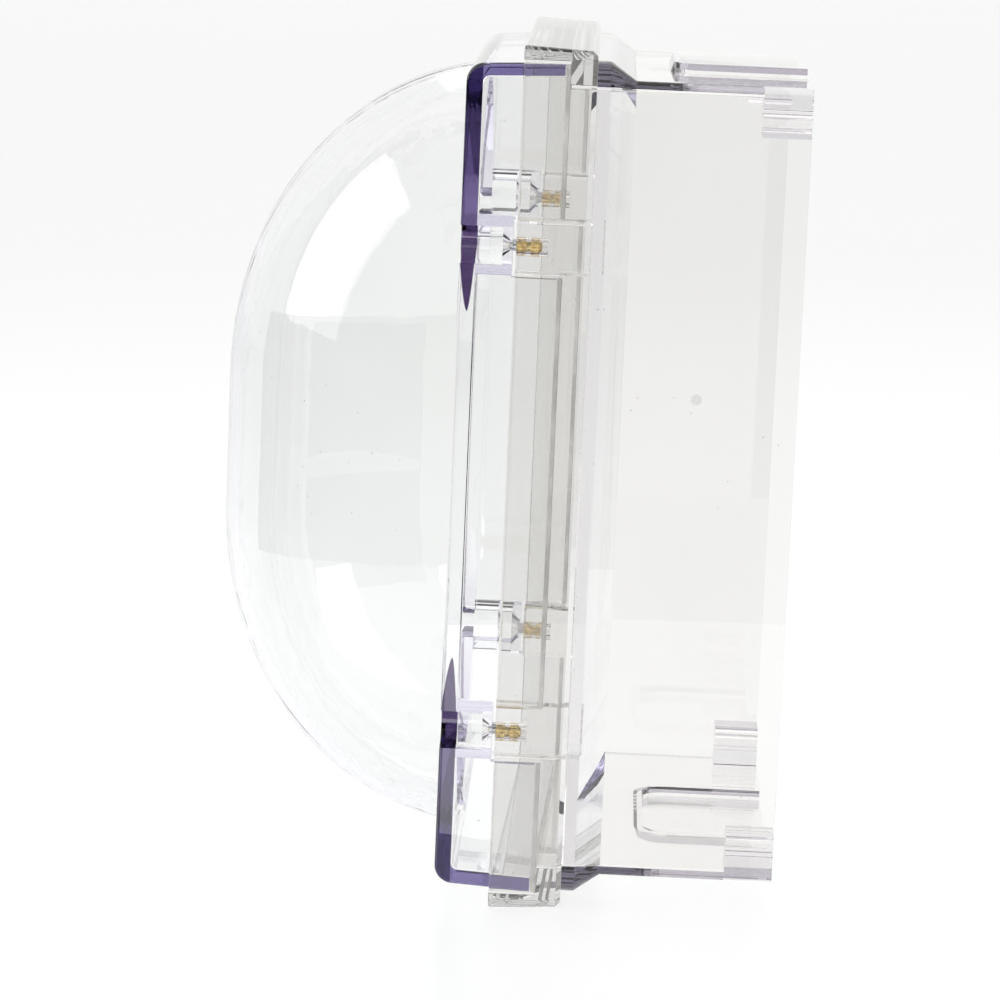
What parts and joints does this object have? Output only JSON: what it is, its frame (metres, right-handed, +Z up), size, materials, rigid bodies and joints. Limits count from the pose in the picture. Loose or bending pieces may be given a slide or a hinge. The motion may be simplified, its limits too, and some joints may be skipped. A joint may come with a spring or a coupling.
{
  "type": "strobe guard cover",
  "caption": "Clear domed wall guard for a sounder and strobe: a lift-off cover with an oval dome, a mounting frame with brass inserts, and an open-backed conduit box.",
  "frame": {"origin": "centre of the face that rests against the wall, at the back of the conduit box", "axes": "+Y towards the wall, so the dome points along -Y; +Z up; X across the width"},
  "size_m": [0.152, 0.1465, 0.216],
  "materials": {
    "tinted_clear": "polished clear polycarbonate, violet where it is seen along its length",
    "frame_clear": "polished clear polycarbonate, nearly without tint",
    "gasket": "matt silicone foam",
    "insert_brass": "knurled",
    "screw_steel": "bright stainless"
  },
  "bodies": {
    "base": {"mounting_frame": "frame_clear", "back_box": "tinted_clear", "gasket_top": "gasket", "gasket_bottom": "gasket", "gasket_left": "gasket", "gasket_right": "gasket", "insert_upper_right": "insert_brass", "insert_upper_left": "insert_brass", "insert_lower_right": "insert_brass", "insert_lower_left": "insert_brass"},
    "cover": {"cover_shell": "tinted_clear"},
    "cover_screw_upper_right": {"screw_upper_right": "screw_steel"},
    "cover_screw_upper_left": {"screw_upper_left": "screw_steel"},
    "cover_screw_lower_right": {"screw_lower_right": "screw_steel"},
    "cover_screw_lower_left": {"screw_lower_left": "screw_steel"}
  },
  "joints": [
    {"name": "cover_lift_off", "type": "slide", "parent": "base", "child": "cover", "axis": [0, -1, 0], "range_m": [0, 0.12]},
    {"name": "screw_upper_right_turn", "type": "hinge", "parent": "cover", "child": "cover_screw_upper_right", "pos_m": [0.0665, -0.0743, 0.0585], "axis": [0, -1, 0], "continuous": true},
    {"name": "screw_upper_left_turn", "type": "hinge", "parent": "cover", "child": "cover_screw_upper_left", "pos_m": [-0.0665, -0.0743, 0.0585], "axis": [0, -1, 0], "continuous": true},
    {"name": "screw_lower_right_turn", "type": "hinge", "parent": "cover", "child": "cover_screw_lower_right", "pos_m": [0.0665, -0.0743, -0.0635], "axis": [0, -1, 0], "continuous": true},
    {"name": "screw_lower_left_turn", "type": "hinge", "parent": "cover", "child": "cover_screw_lower_left", "pos_m": [-0.0665, -0.0743, -0.0635], "axis": [0, -1, 0], "continuous": true}
  ]
}
